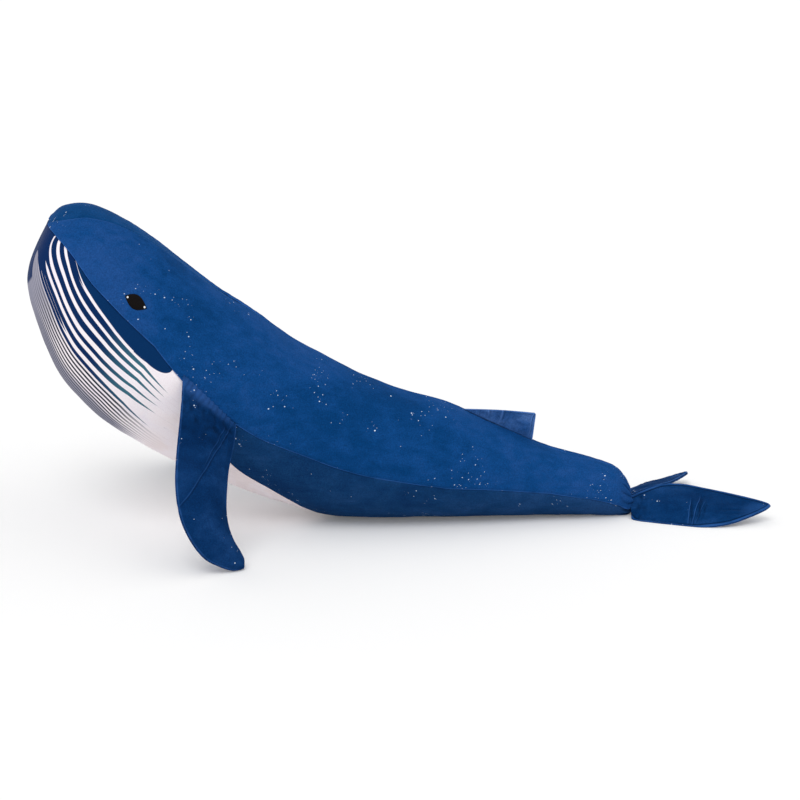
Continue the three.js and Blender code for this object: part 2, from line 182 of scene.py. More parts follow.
station_shares = np.array([
    [0.032, 0.934, 0.032, 0.934, 0.00],
    [0.038, 0.960, 0.022, 0.899, 0.19],
    [0.058, 0.992, 0.000, 0.775, 0.51],
    [0.095, 1.000, 0.020, 0.603, 0.77],
    [0.132, 0.974, 0.051, 0.468, 0.92],
    [0.188, 0.905, 0.082, 0.394, 0.98],
    [0.246, 0.818, 0.122, 0.320, 1.00],
    [0.303, 0.732, 0.172, 0.257, 0.99],
    [0.361, 0.661, 0.235, 0.188, 0.97],
    [0.420, 0.579, 0.309, 0.124, 0.925],
    [0.480, 0.519, 0.393, 0.063, 0.88],
    [0.539, 0.460, 0.477, 0.013, 0.84],
    [0.605, 0.413, 0.574, 0.000, 0.78],
    [0.686, 0.368, 0.669, 0.000, 0.70],
    [0.769, 0.297, 0.761, 0.000, 0.575],
    [0.853, 0.229, 0.850, 0.000, 0.44],
    [0.936, 0.184, 0.935, 0.000, 0.34],
    [0.978, 0.151, 0.978, 0.006, 0.24],
    [0.992, 0.111, 0.990, 0.016, 0.13],
    [1.000, 0.055, 1.000, 0.055, 0.00],
])
gusset_angles = [57, 55, 44, 30, 21, 12, 7, 5, 3, 0, 0, 0, 0, 0, 0, 0, 0, 0, 0, 0]
side_seam_angles = [57, 60, 62, 67, 72, 76, 78, 86, 92, 95, 95, 95, 98, 102, 97, 93, 100, 106, 108, 108]
last_station = len(station_shares) - 1
stations = np.arange(last_station + 1)
round_end_stations = (3, 16.5)

top_points = np.stack([
    chin_x + station_shares[:, 0] * body_length,
    station_shares[:, 4] * half_width,
    station_shares[:, 1] * body_height - floor_press,
], 1)
bottom_points = np.stack([
    chin_x + station_shares[:, 2] * body_length,
    0 * stations,
    station_shares[:, 3] * body_height - floor_press,
], 1)


def curve_between(b, c, leave, arrive, t):
    """Points of a curve from b to c, which leaves and arrives in the given directions."""
    return b + leave * t + (3 * (c - b) - 2 * leave - arrive) * t**2 + (2 * (b - c) + leave + arrive) * t**3


def smooth_line(points, station):
    """Points of a centripetal curve through the given points, at stations counted along it."""
    ends = np.array([2 * points[0] - points[1], *points, 2 * points[-1] - points[-2]])
    low = np.clip(np.floor(station).astype(int), 0, len(points) - 2)
    t = (station - low)[..., None]
    a, b, c, d = ends[low], ends[low + 1], ends[low + 2], ends[low + 3]
    ab, bc, cd = (np.sqrt(np.linalg.norm(q - p, axis=-1))[..., None] for p, q in ((a, b), (b, c), (c, d)))
    leave = ((b - a) / ab - (c - a) / (ab + bc) + (c - b) / bc) * bc
    arrive = ((c - b) / bc - (d - b) / (bc + cd) + (d - c) / cd) * bc
    return curve_between(b, c, leave, arrive, t)


def section_centre(station):
    centre = (smooth_line(top_points, station) + smooth_line(bottom_points, station)) / 2
    centre[..., 1] = 0
    return centre


def skin_point(station, degrees, depth):
    """Points of the skin, moved in by depth toward the body's middle line."""
    top, bottom = smooth_line(top_points, station), smooth_line(bottom_points, station)
    angle = np.radians(degrees)[..., None]
    point = (top + bottom) / 2 + (top - bottom) / 2 * np.cos(angle)
    point[..., 1] = -np.sin(angle[..., 0]) * top[..., 1]
    inward = section_centre(np.clip(station, *round_end_stations)) - point
    inward /= np.linalg.norm(inward, axis=-1, keepdims=True)
    return point + inward * depth[..., None]


def uneven(points, size, seed):
    """Soft unevenness from -1 to 1, in lumps of about the given size."""
    flat = points.reshape(-1, 3)
    values = [noise.noise(Vector(p / size) + Vector((seed, 0, 0))) for p in flat]
    return np.array(values).reshape(points.shape[:-1])


# How a sewn seam draws the cloth in, how wide its valley is, and how far its small puckers reach
seam_depth, seam_reach = 0.0013, 0.0016
roll_height, roll_middle, roll_width = 0.0003, 0.004, 0.0026
pucker_height, pucker_length, pucker_reach = 0.00042, 0.0042, 0.009
lump_height = 0.0013
cloth_thickness = 0.0018
floor_gap = 0.0002
# How deep the tail end's gathers are, how much fuller it is, and how far its slack lies down and back
gather_folds, gather_depth = 19, 0.0034
end_fullness = 0.0036
end_sag = end_push = 0.0075
# The stations where these begin, and how many they take to grow
gathers_grow, fullness_grows, slack_grows, push_grows = (16.9, 1.1), (16.8, 1.4), (16, 1.8), (17.3, 1.2)


def share_past(value, start, reach):
    """How far a value has gone from start over a reach, from 0 to 1."""
    return np.clip((value - start) / reach, 0, 1)


def bell(distance, width):
    """1 in the middle, and almost nothing at twice the width."""
    return np.exp(-((distance / width) ** 2))


def seam_profile(away):
    valley = seam_depth * np.exp(-((away / seam_reach) ** 1.4))
    return valley - roll_height * bell(away - roll_middle, roll_width)


def spread(count, crowding):
    """Shares from 0 to 1 that crowd toward both ends, where the seams are."""
    share = np.linspace(0, 1, count)
    return share - crowding * np.sin(2 * math.pi * share) / (2 * math.pi)


def grid_mesh(name, rows, columns):
    """A flat grid, and the row and the column of each of its points."""
    form = bmesh.new()
    form.loops.layers.uv.verify()
    bmesh.ops.create_grid(form, x_segments=columns - 1, y_segments=rows - 1, size=0.5, calc_uvs=True)
    mesh = finished_mesh(name, form)
    flat = np.zeros(len(mesh.vertices) * 3)
    mesh.vertices.foreach_get("co", flat)
    spots = flat.reshape(-1, 3)[:, :2] + 0.5
    column = np.rint(spots[:, 0] * (columns - 1)).astype(int)
    row = np.rint(spots[:, 1] * (rows - 1)).astype(int)
    return mesh, row, column


def cloth_piece(name, rows, columns, place, material):
    """A velvet panel from a grid: place gives its points, its pattern coordinates, how far each is from a seam and
    how much of a hollow it lies in."""
    mesh, row, column = grid_mesh(name, rows, columns)
    points, pattern, away, hollow = place(rows, columns)
    mesh.vertices.foreach_set("co", points[row, column].ravel())
    corner = np.zeros(len(mesh.loops), int)
    mesh.loops.foreach_get("vertex_index", corner)
    mesh.uv_layers[0].data.foreach_set("uv", pattern[row, column][corner].ravel())
    from_seam = np.stack([away, hollow], -1)
    mesh.uv_layers.new(name="from_seam").data.foreach_set("uv", from_seam[row, column][corner].ravel())
    mesh.update()
    mesh.materials.append(material)
    mesh.shade_smooth()
    piece = put_in_scene(name, mesh)
    wall = piece.modifiers.new("cloth", "SOLIDIFY")
    wall.thickness = cloth_thickness
    wall.offset = -1
    return piece


def row_stations(start, end, rows):
    """Stations a like distance apart along the middle of the side."""
    fine = np.linspace(start, end, 1500)
    line = skin_point(fine, np.full_like(fine, 90.0), np.zeros_like(fine))
    travelled = np.concatenate([[0], np.cumsum(np.linalg.norm(np.diff(line, axis=0), axis=1))])
    return np.interp(spread(rows, 0.25) * travelled[-1], travelled, fine)


def sewn_skin(station, degrees, seed):
    """Points of a panel whose four sides are seams: the cloth dips into each seam, puckers beside it and is uneven."""
    smooth = skin_point(station, degrees, np.zeros_like(station))
    across = np.linalg.norm(np.diff(smooth, axis=1), axis=2)
    from_first = np.concatenate([np.zeros((len(across), 1)), np.cumsum(across, 1)], 1)
    away = np.minimum(from_first, from_first[:, -1:] - from_first)
    along = np.linalg.norm(np.diff(smooth, axis=0), axis=2)
    from_nose = np.concatenate([np.zeros((1, along.shape[1])), np.cumsum(along, 0)], 0)
    puckers = uneven(np.stack([from_nose, away * 0.3, 0 * away], -1), pucker_length, seed)
    lumps = uneven(smooth, 0.075, seed) + 0.5 * uneven(smooth, 0.032, seed + 7) + 0.22 * uneven(smooth, 0.014, seed + 9)
    depth = seam_profile(away) - lump_height * lumps
    depth += pucker_height * puckers * bell(away, pucker_reach)
    # The tail end is drawn together by its seam, in radial folds that twist a little
    drawn = share_past(station, *gathers_grow) * share_past(-station, -last_station, 0.3)
    folded = np.abs(np.sin(np.radians(degrees) * gather_folds / 2 + 0.8 * (station - 17) + 2 * uneven(smooth, 0.03, 5)))
    # The gathers' hollows also set painted shade in the velvet.
    hollow = np.clip(drawn * (1 - folded) ** 0.9 * (0.8 + 1.2 * uneven(smooth, 0.016, 8)), 0, 1)
    depth += gather_depth * hollow
    depth -= end_fullness * share_past(station, *fullness_grows) ** 1.5
    points = skin_point(station, degrees, depth)
    # The slack under the tail end lies down on the floor
    low = share_past(np.abs(degrees), 55, 55) * share_past(station, *slack_grows)
    points[..., 0] += end_push * low * share_past(station, *push_grows)
    points[..., 2] = np.maximum(points[..., 2] - end_sag * low, floor_gap)
    return points, np.stack([from_nose, from_first], -1), away, hollow


# The velvet: dyed pile in deep and royal blue. It lies brushed in soft patches and short strokes, has a faint sheen at
# grazing angles, a painted sheen highlight where it rolls over a seam and painted shade in its hollows and creases.
# Small pale specks are printed in loose drifts.
speck_colour = (0.74, 0.86, 1)
# Cell size, largest speck, share of cells that have one, least drift and strength
speck_sizes = (
    (0.030, 0.00135, 0.40, 0.46, 0.95),
    (0.0100, 0.00092, 0.50, 0.57, 0.80),
    (0.0046, 0.00062, 0.36, 0.60, 0.60),
)


class Measure:
    """A number read at each spot of a cloth, such as a distance or a shade. Sums of measures become nodes."""

    def __init__(self, tree, socket):
        self.tree, self.socket = tree, socket

    def __add__(self, other):
        return worked("ADD", self, other)

    def __sub__(self, other):
        return worked("SUBTRACT", self, other)

    def __rsub__(self, other):
        return worked("SUBTRACT", other, self)

    def __mul__(self, other):
        return worked("MULTIPLY", self, other)

    def __truediv__(self, other):
        return worked("DIVIDE", self, other)

    def __pow__(self, other):
        return worked("POWER", self, other)

    def __abs__(self):
        return worked("ABSOLUTE", self)

    def at_least(self, other):
        return worked("MAXIMUM", self, other)

    def at_most(self, other):
        return worked("MINIMUM", self, other)

    def eased(self, start, end, low, high, way="SMOOTHSTEP"):
        """Goes from low to high as the measure goes from start to end."""
        values = dict(enumerate((self.socket, start, end, low, high)))
        return Measure(self.tree, add_node(self.tree, "MapRange", values, interpolation_type=way).outputs[0])


def worked(operation, *values):
    tree = next(value.tree for value in values if isinstance(value, Measure))
    plain = [value.socket if isinstance(value, Measure) else value for value in values]
    return Measure(tree, add_node(tree, "Math", dict(enumerate(plain)), operation=operation).outputs[0])


def laid_over(amount, under, over):
    """One colour laid over another by a measured amount."""
    colours = {name: (*value, 1) if isinstance(value, tuple) else value for name, value in (("A", under), ("B", over))}
    return add_node(amount.tree, "Mix", {"Factor": amount.socket, **colours}, data_type="RGBA").outputs["Result"]


def dyed(measure, first, last, *between):
    """A colour ramp over a measure, through stops of a place and a colour."""
    ramp = add_node(measure.tree, "ValToRGB", {"Fac": measure.socket})
    stops = ramp.color_ramp.elements
    for number, (place, colour) in enumerate((first, last, *between)):
        stop = stops[number] if number < 2 else stops.new(place)
        stop.position = place
        stop.color = (*colour, 1)
    return ramp.outputs["Color"]


def lumpy(tree, spot, scale, detail, distortion=0, **settings):
    values = {"Vector": spot, "Scale": scale, "Detail": detail, "Distortion": distortion}
    return Measure(tree, add_node(tree, "TexNoise", values, **settings).outputs["Fac"])


def two_parts(tree, spot):
    parts = add_node(tree, "SeparateXYZ", {0: spot}).outputs
    return Measure(tree, parts[0]), Measure(tree, parts[1])


def seam_measures(tree):
    """How far a spot is from a seam, and how much of a hollow it lies in."""
    return two_parts(tree, add_node(tree, "UVMap", uv_map="from_seam").outputs[0])


def cover(tree, shader, colour, height, strength, distance):
    """Gives a shader its colour, and raises pile or stitches that are too fine for the mesh."""
    tree.links.new(colour, shader.inputs["Base Color"])
    raised = add_node(tree, "Bump", {"Strength": strength, "Distance": distance, "Height": height.socket})
    tree.links.new(raised.outputs[0], shader.inputs["Normal"])


def velvet(name, deep, mid, bright, patch_size, specks, sheen, seam_sheen_strength, worn=(), creased=(), seam_sheen_reach=0.0016,
           painted_channel_shade=None, shaded_root=0):
    """Worn patches are (u, v, reach u, reach v, strength). Creases are (u, slope, v from, v to, half width,
    strength), each drawn as a painted highlight with painted shade beside it. Shaded root and channel lay painted
    shade along the root and in the channel beside the rim."""
    material, tree, shader = new_material(name, {
        "Roughness": 0.86, "Specular IOR Level": 0.04, "Sheen Weight": sheen, "Sheen Roughness": 0.35,
        "Sheen Tint": (0.12, 0.42, 1, 1)})
    spot = add_node(tree, "TexCoord").outputs

    def brushed(size, detail, distortion, scale, turn):
        turned = add_node(tree, "Mapping", {"Scale": scale, "Rotation": (0, turn, 0), "Vector": spot["Object"]})
        return lumpy(tree, turned.outputs[0], 1 / size, detail, distortion)

    patches = brushed(patch_size, 3, 0.4, (0.7, 1, 1.15), 0)
    mottle = brushed(0.021, 4, 0.8, (0.8, 1, 1), 0.5)
    strokes = brushed(0.0085, 2, 0.3, (0.28, 1, 1), 0.55)
    dye = dyed(patches * 0.58 + mottle * 0.27 + strokes * 0.15, (0.40, deep), (0.62, bright), (0.5, mid))
    pile = lumpy(tree, spot["Object"], 640, 3)
    grain = pile.eased(0.3, 0.7, 0.78, 1.22, "LINEAR")
    colour = add_node(tree, "Mix", {"Factor": 1, "A": dye, "B": grain.socket},
                      data_type="RGBA", blend_type="MULTIPLY").outputs["Result"]

    across, out = two_parts(tree, spot["UV"])
    # Pale pile: the brushed wear of the worn patches, and also the painted highlight on creases and rolled seams.
    pale_wear_and_highlight = tuple(min(1, 1.9 * value + 0.012) for value in bright)
    shaded = tuple(0.35 * value for value in deep)
    for u, v, reach_u, reach_v, strength in worn:
        near = abs((across - u) / reach_u) ** 2 + abs((out - v) / reach_v) ** 2 + mottle * 1.2
        colour = laid_over(near.eased(0.5, 1.6, strength, 0), colour, pale_wear_and_highlight)
    # Each crease: a painted highlight along its line, and painted shade in the valley beside it.
    for u, slope, v_from, v_to, half, strength in creased:
        leaned = across + (patches - 0.5) * 0.012 + (out - v_from) * slope
        held = out.eased(v_from, v_from + 0.012, 0, 1) * out.eased(v_to - 0.03, v_to, 1, 0)
        line = abs(leaned - u).eased(half, 0.25 * half, 0, strength)
        colour = laid_over(line * held, colour, pale_wear_and_highlight)
        valley = abs(leaned - (u + 1.9 * half)).eased(1.3 * half, 0.3 * half, 0, strength)
        colour = laid_over(valley * held, colour, shaded)
    # Painted shade along the root, darkest at the seam.
    if shaded_root:
        colour = laid_over(out.eased(0.35 * shaded_root, shaded_root, 0.85, 0), colour, shaded)

    if specks:
        drift = lumpy(tree, spot["UV"], 13, 2, 1.2, noise_dimensions="2D")
        for cell, radius, share, least, strength in speck_sizes:
            cells = add_node(tree, "TexVoronoi", {"Scale": 1 / cell, "Vector": spot["UV"]}, voronoi_dimensions="2D")
            chance = Measure(tree, add_node(tree, "SeparateColor", {0: cells.outputs["Color"]}).outputs[0])
            size = chance.eased(1 - share * specks, 1, 0, radius / cell, "LINEAR")
            inside = size - Measure(tree, cells.outputs["Distance"])
            dot = inside.eased(0, 0.35 * radius / cell, 0, strength, "LINEAR")
            colour = laid_over(dot * drift.eased(least, least + 0.02, 0, 1), colour, speck_colour)

    away, hollow = seam_measures(tree)
    # Painted shade: darker in the hollows of the folds, gathers and crinkles.
    colour = laid_over(hollow * 0.85, colour, shaded)
    # Painted highlight: a pale line of sheen where the pile rolls over a seam, broken by the strokes.
    painted_seam_sheen = away.eased(0.4 * seam_sheen_reach, seam_sheen_reach, seam_sheen_strength, 0) * strokes.eased(0.36, 0.6, 0.45, 1)
    colour = laid_over(painted_seam_sheen, colour, pale_wear_and_highlight)
    # Painted shade in the channel that runs beside the rim.
    if painted_channel_shade:
        colour = laid_over(abs(away - painted_channel_shade).eased(0.0004, 0.0011, 0.75, 0), colour, shaded)
    cover(tree, shader, colour, pile, 0.35, 0.0006)
    return material


# Side panels, gusset and belly: deep, middle and bright dye, size of the brushed patches, specks, sheen and painted
# seam highlight
side_velvet, gusset_velvet, belly_velvet = (velvet(*look) for look in (
    ("side_velvet", (0.0012, 0.042, 0.160), (0.0040, 0.056, 0.210), (0.0125, 0.069, 0.245), 0.15, 1, 0.05, 0.65),
    ("gusset_velvet", (0.0016, 0.044, 0.156), (0.0045, 0.056, 0.192), (0.0130, 0.076, 0.240), 0.12, 1, 0.04, 0.5),
    ("belly_velvet", (0.0028, 0.029, 0.106), (0.0052, 0.041, 0.134), (0.0125, 0.056, 0.172), 0.12, 1, 0.05, 0.55),
))

# Side panels run from the head to the tail between the gusset and the under panels, in velvet with the brightest
# patches. Each is one long piece, sewn along its top to the gusset and then to its twin down the back.
side_start, tail_station = 1, 18.92


def side_place(turn):
    def place(rows, columns):
        station = np.repeat(row_stations(side_start, tail_station, rows)[:, None], columns, 1)
        upper = np.interp(station, stations, gusset_angles)
        lower = np.interp(station, stations, side_seam_angles)
        degrees = upper + (lower - upper) * spread(columns, 0.75)[None, :]
        return sewn_skin(station, turn * degrees, 11 if turn > 0 else 23)

    return place


for side, turn in (("left", 1), ("right", -1)):
    panel = cloth_piece(f"{side}_side_skin", 330, 90, side_place(turn), side_velvet)
    if turn > 0:
        panel.data.flip_normals()
    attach(panel, "whale_body")
    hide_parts(f"{side}_side_panel")

# The back gusset runs over the head between the side panels and ends in a point behind it. Its velvet is the same as
# theirs and a little deeper.
nose_station, gusset_end = 0.08, 8.5


def gusset_place(rows, columns):
    station = np.repeat(row_stations(nose_station, gusset_end, rows)[:, None], columns, 1)
    seam = np.interp(station, stations, gusset_angles)
    return sewn_skin(station, seam * (2 * spread(columns, 0.7)[None, :] - 1), 37)


gusset = cloth_piece("back_gusset_skin", 200, 70, gusset_place, gusset_velvet)
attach(gusset, "whale_body")
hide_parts("back_gusset")

# Under panels: the pale throat ends in a tongue between the flippers, and the dark belly starts round it. Both are
# sewn to the side panels along the jaw and the flank.
throat_end, throat_tip = 8, 11.3


def under_spot(row, share):
    seam = np.interp(row, stations, side_seam_angles)
    return 180 + share * (180 - seam)


def tongue(share):
    waves = 0.11 * np.sin(13 * share + 0.8) * np.abs(np.sin(math.pi * share)) ** 0.5
    return throat_end + (throat_tip - throat_end) * (1 + np.cos(math.pi * share)) / 2 + waves


def throat_place(rows, columns):
    share = 2 * spread(columns, 0.7)[None, :] - 1
    row = row_stations(nose_station, throat_end, rows)[:, None]
    stretch = ((row - nose_station) / (throat_end - nose_station)) ** 3
    station = row + stretch * (tongue(share) - throat_end)
    points, _, away, hollow = sewn_skin(station, under_spot(station, share), 51)
    return points, np.stack([station / 10, np.broadcast_to(share, station.shape)], -1), away, hollow


def belly_place(rows, columns):
    share = 2 * spread(columns, 0.7)[None, :] - 1
    row = row_stations(throat_end, tail_station, rows)[:, None]
    stretch = ((tail_station - row) / (tail_station - throat_end)) ** 3
    station = row + stretch * (tongue(share) - throat_end)
    return sewn_skin(station, under_spot(station, share), 67)


# Throat print: pale grooves between dark bands. They leave the jaw seam near the nose, run back side by side and end
# in points before the flippers. A dark crescent follows the seam, and the pale pile behind the bands has painted fold
# shade in lavender and beige.
throat_velvet, print_nodes, throat_shader = new_material("throat_velvet", {
    "Roughness": 0.88, "Specular IOR Level": 0.08, "Sheen Weight": 0.05, "Sheen Roughness": 0.4})
print_spot = add_node(print_nodes, "TexCoord").outputs
tenth_station, across_share = two_parts(print_nodes, print_spot["UV"])
along = tenth_station * 10
from_jaw = 1 - abs(across_share)

# The bands bend toward the seam at the nose, draw a little apart beside it further back and close at their ends
curl = worked("EXPONENT", 1.8 - along * 1.4 - from_jaw * 4.8) * along.eased(2.9, 4.2, 1, 0)
behind_chin = (along - 4).at_least(0)
apart = behind_chin * 0.24 * (0.26 - from_jaw).at_least(0)
closing = ((along - 5.3).at_least(0) / 1.4) ** 1.3 * from_jaw.eased(0.37, 0.42, 0.042, -0.022)
groove_spot = from_jaw + curl - apart + closing
chin_edge = (abs(from_jaw - 0.475) ** 2 * 41).at_most(0.53) + 1.58
past_chin = along - chin_edge
at_front = past_chin.eased(0, 0.4, 0.02, 0) * groove_spot.eased(0.28, 0.32, 0.3, 1)

# Each dark band's middle as a share from the seam, its width and the station where it ends
band_table = (
    (0.1085, 0.046, 6.82), (0.173, 0.040, 6.82), (0.2435, 0.046, 6.80), (0.3115, 0.029, 6.80), (0.371, 0.037, 6.84),
    (0.434, 0.030, 6.90),
)
# Two short bands fill the widest gaps near the chin: middle, half width and last station
short_bands = (0.0785, 0.0115, 3.45), (0.4035, 0.0135, 3.40)
print_edge = (-0.0012, 0.0018)
dark = past_chin.eased(-0.02, 0.06, 1, 0)
for middle_share, band_width, band_end in band_table:
    kept = 1 - (behind_chin / (band_end - 4)).at_most(1) ** 3
    half_band = kept * (band_width / 2) + at_front
    dark = dark.at_least((half_band - abs(groove_spot - middle_share)).eased(*print_edge, 0, 1))
for middle_share, half_band, last in short_bands:
    held = along.eased(last - 0.15, last + 0.45, half_band, -0.002)
    dark = dark.at_least((held - abs(groove_spot - middle_share)).eased(*print_edge, 0, 1))

# Fine lines of one spacing lie between the outer bands and the middle of the throat, and fade toward their ends.
# Painted shade greys the pale pile between them at the chin and along the middle.
fine_spacing, fine_start = 0.036, 0.456
fine = abs(worked("FRACT", (groove_spot - fine_start) / fine_spacing) - 0.5).eased(0.18, 0.30, 1, 0)
fine = fine * groove_spot.eased(fine_start, fine_start + 0.004, 0, 1) * along.eased(5.7, 7.5, 1, 0)
fine = fine * along.eased(2.2, 3.2, 0.3, 1) * groove_spot.eased(0.62, 0.72, 1, 0.75)
chin_grey_shade = groove_spot.eased(0.445, 0.46, 0, 0.85) * along.eased(2.4, 3.9, 1, 0)
grey_shade = chin_grey_shade.at_least(groove_spot.eased(0.585, 0.70, 0, 0.9) * along.eased(6, 7.1, 1, 0))

# The crescent follows the seam and ends in a rounded lobe
lobe_from, lobe_length = 5.6, 1.03
rounded = ((along - lobe_from).at_least(0) / lobe_length).at_most(1) ** 2.5
lobe = worked("SQRT", 1 - rounded) * 0.118 - from_jaw
in_lobe = worked("GREATER_THAN", along, lobe_from)
crescent = lobe * in_lobe + (0.064 - groove_spot) * (1 - in_lobe)
crescent = crescent.eased(-0.002, 0.002, 0, 1) * along.eased(6.61, 6.66, 1, 0)

pale_pile = lumpy(print_nodes, print_spot["Object"], 700, 2)
fold_shade_lumps = lumpy(print_nodes, print_spot["Object"], 26, 3, 0.6)
pale = laid_over(pale_pile.eased(0.3, 0.7, 0, 1), (0.93, 0.85, 0.895), (0.97, 0.92, 0.955))
# Painted shade of soft folds: lavender toward the front, pink beige toward the rear.
lavender_fold_shade = fold_shade_lumps.eased(0.46, 0.62, 0, 0.3) * along.eased(7.2, 6.4, 0.35, 1)
pale = laid_over(lavender_fold_shade, pale, (0.80, 0.76, 0.88))
beige_fold_shade = fold_shade_lumps.eased(0.60, 0.38, 0.25, 0.8) * along.eased(6.6, 7.6, 0, 1)
pale = laid_over(beige_fold_shade, pale, (0.88, 0.77, 0.77))
lined = laid_over(fine, laid_over(grey_shade, pale, (0.235, 0.24, 0.33)), (0.014, 0.019, 0.038))
teal = along.eased(4.6, 6, 0, 1) * groove_spot.eased(0.45, 0.40, 0.35, 1)
ink = laid_over(teal, (0.0015, 0.021, 0.098), (0.042, 0.145, 0.205))
printed = laid_over(crescent, laid_over(dark, lined, ink), (0.0004, 0.027, 0.108))
# Painted highlight: a pale line of sheen where the pile rolls over the jaw seam.
throat_seam_sheen = seam_measures(print_nodes)[0].eased(0.0006, 0.0016, 0.5, 0) * along.eased(6.6, 6.9, 1, 0)
printed = laid_over(throat_seam_sheen, printed, (0.07, 0.17, 0.38))
cover(print_nodes, throat_shader, printed, pale_pile, 0.3, 0.0006)

throat = cloth_piece("throat_skin", 230, 190, throat_place, throat_velvet)
belly = cloth_piece("belly_skin", 250, 120, belly_place, belly_velvet)
for panel, node in ((throat, "throat_panel"), (belly, "belly_panel")):
    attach(panel, "whale_body")
    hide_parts(node)

# Fibrefill: loose white polyester fibre that fills the body, in three lengths, and each stuffed limb. Its surface is
# tufted and matt.
fibre, fibre_nodes, fibre_shader = new_material("fibrefill", {"Roughness": 0.95, "Sheen Weight": 0.3})
strands = lumpy(fibre_nodes, add_node(fibre_nodes, "TexCoord").outputs["Object"], 160, 6, 2.5)
fibre_tint = dyed(strands, (0, (0.70, 0.69, 0.66)), (1, (0.93, 0.92, 0.90)))
cover(fibre_nodes, fibre_shader, fibre_tint, strands, 0.8, 0.002)
tuft_height, tuft_sink, tufts_per_metre = 0.0009, 0.6, 90


def fluffy_copy(node, name, body, bend=None, reshaped=None):
    """Fibrefill in the place of a node: a merged, softened copy of its solid with a tufted surface."""
    form = bmesh.new()
    form.from_mesh(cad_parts[node].data)
    bmesh.ops.remove_doubles(form, verts=form.verts, dist=1e-6)
    bmesh.ops.subdivide_edges(form, edges=form.edges, cuts=1, use_grid_fill=True)
    bmesh.ops.smooth_vert(form, verts=form.verts, factor=0.5, use_axis_x=True, use_axis_y=True, use_axis_z=True)
    form.normal_update()
    for vert in form.verts:
        vert.co += vert.normal * (noise.noise(vert.co * tufts_per_metre) - tuft_sink) * tuft_height
        if reshaped:
            vert.co = reshaped(vert.co)
    mesh = finished_mesh(name, form)
    mesh.materials.append(fibre)
    mesh.shade_smooth()
    piece = put_in_scene(name, mesh)
    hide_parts(node)
    if bend:
        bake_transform(piece)
    else:
        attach(piece, body)


for part in ("head", "trunk", "tail"):
    fluffy_copy(f"{part}_filling", f"{part}_fibrefill", "whale_body")


# Stuffed limbs: two leaves of velvet sewn round their outline and turned, lightly stuffed, with the root sewn into a
# seam of the body. Rows run from the root to the tip, and columns from the leading edge to the trailing edge.
def outline_point(shares, share):
    """Points of a plain curve through an outline's shares."""
    points = np.array(shares, float)
    place = np.clip(share, 0, 1) * (len(points) - 1)
    low = np.clip(np.floor(place).astype(int), 0, len(points) - 2)
    t = (place - low)[..., None]
    a, b = points[np.maximum(low - 1, 0)], points[low]
    c, d = points[low + 1], points[np.minimum(low + 2, len(points) - 1)]
    return curve_between(b, c, (c - a) / 2, (d - b) / 2, t)


rim_half, root_half, rim_channel, rim_pucker_height = 0.0012, 0.0007, 0.0042, 0.0004
leaf_thickness = 0.0012
filling_flattened, fluke_filling_kept = 0.45, 0.25
settle_frames, settle_cap, settle_rim, settle_reach = 16, 0.004, 0.0015, 0.009


def leaf_shape(limb, seed):
    """One leaf in its own plane: where each point lies, its filled form, the folds on that, how far its outline is
    and how much of a hollow it lies in."""
    row = np.repeat(spread(limb["rows"], 0.3)[:, None], limb["columns"], 1)
    column = np.repeat(spread(limb["columns"], 0.75)[None, :], limb["rows"], 0)
    lead = outline_point(limb["leading"], row) * limb["size"]
    trail = outline_point(limb["trailing"], row) * limb["size"]
    spot = lead + (trail - lead) * column[..., None]
    width = np.linalg.norm(trail - lead, axis=-1)
    grown = limb["root"] + (1 - limb["root"]) * np.minimum(1, row / limb["growth"])
    past = share_past(row, limb["growth"], 1 - limb["growth"])
    swell = grown * np.sqrt(1 - past**2) * np.sin(math.pi * column) ** 0.75
    edge = np.minimum(column, 1 - column) * width
    flat = np.stack([spot[..., 0], spot[..., 1], 0 * row], -1)
    drawn = flat * np.array([*limb["grain"], 1])
    creases = uneven(drawn, 0.011, seed) + 0.6 * uneven(flat, 0.024, seed + 3)
    puckers = uneven(flat, 0.0055, seed + 5)
    filled = rim_half - (rim_half - root_half) * share_past(row, 0.8, 0.2) ** 2 + limb["puff"] * swell
    half = limb["crease"] * creases * np.minimum(1, swell * 1.6)
    half = half + rim_pucker_height * puckers * bell(edge, pucker_reach) * np.minimum(1, edge / 0.002)
    # Cloth is gathered where the root is sewn, and folds along the lines that the limb names
    from_root = row * np.linalg.norm(limb["size"] * outline_point(limb["leading"], np.array(1.0)))
    gathers = np.cos(2 * math.pi * (spot @ limb["along_root"]) / limb["gather"] + 2.5 * uneven(flat, 0.02, seed + 6))
    gathers = gathers * bell(from_root - 0.004, 0.009)
    crinkles = uneven(flat * np.array([1, 0.75, 1]), 0.0062, seed + 8) * bell(from_root - 0.022, 0.013)
    gathers += limb["puckers"] * crinkles
    # Crinkle valleys and the folds below count as hollows, which the velvet darkens with painted shade.
    hollow = np.clip(-limb["puckers"] * 0.55 * crinkles, 0, 0.6)
    half = half + limb["gather_height"] * gathers * np.minimum(1, edge / 0.006)
    beside_rim = bell(edge - rim_channel, 0.0013) * np.clip(8 * np.minimum(row, 1.02 - row), 0, 1)
    half = half - limb["rim_fold"] * beside_rim
    for start, end, depth, reach in limb["folds"]:
        line = np.array(end) - np.array(start)
        share = np.clip(((spot - start) @ line) / (line @ line), 0, 1)
        aside = np.linalg.norm(spot - start - share[..., None] * line, axis=-1)
        fold = bell(aside, reach) * np.sin(math.pi * np.clip(share, 0.05, 0.95)) ** 0.5
        half = half - depth * fold
        hollow = np.maximum(hollow, (depth / 0.0023) ** 2 * fold**2)
    return spot, filled, half, edge, hollow


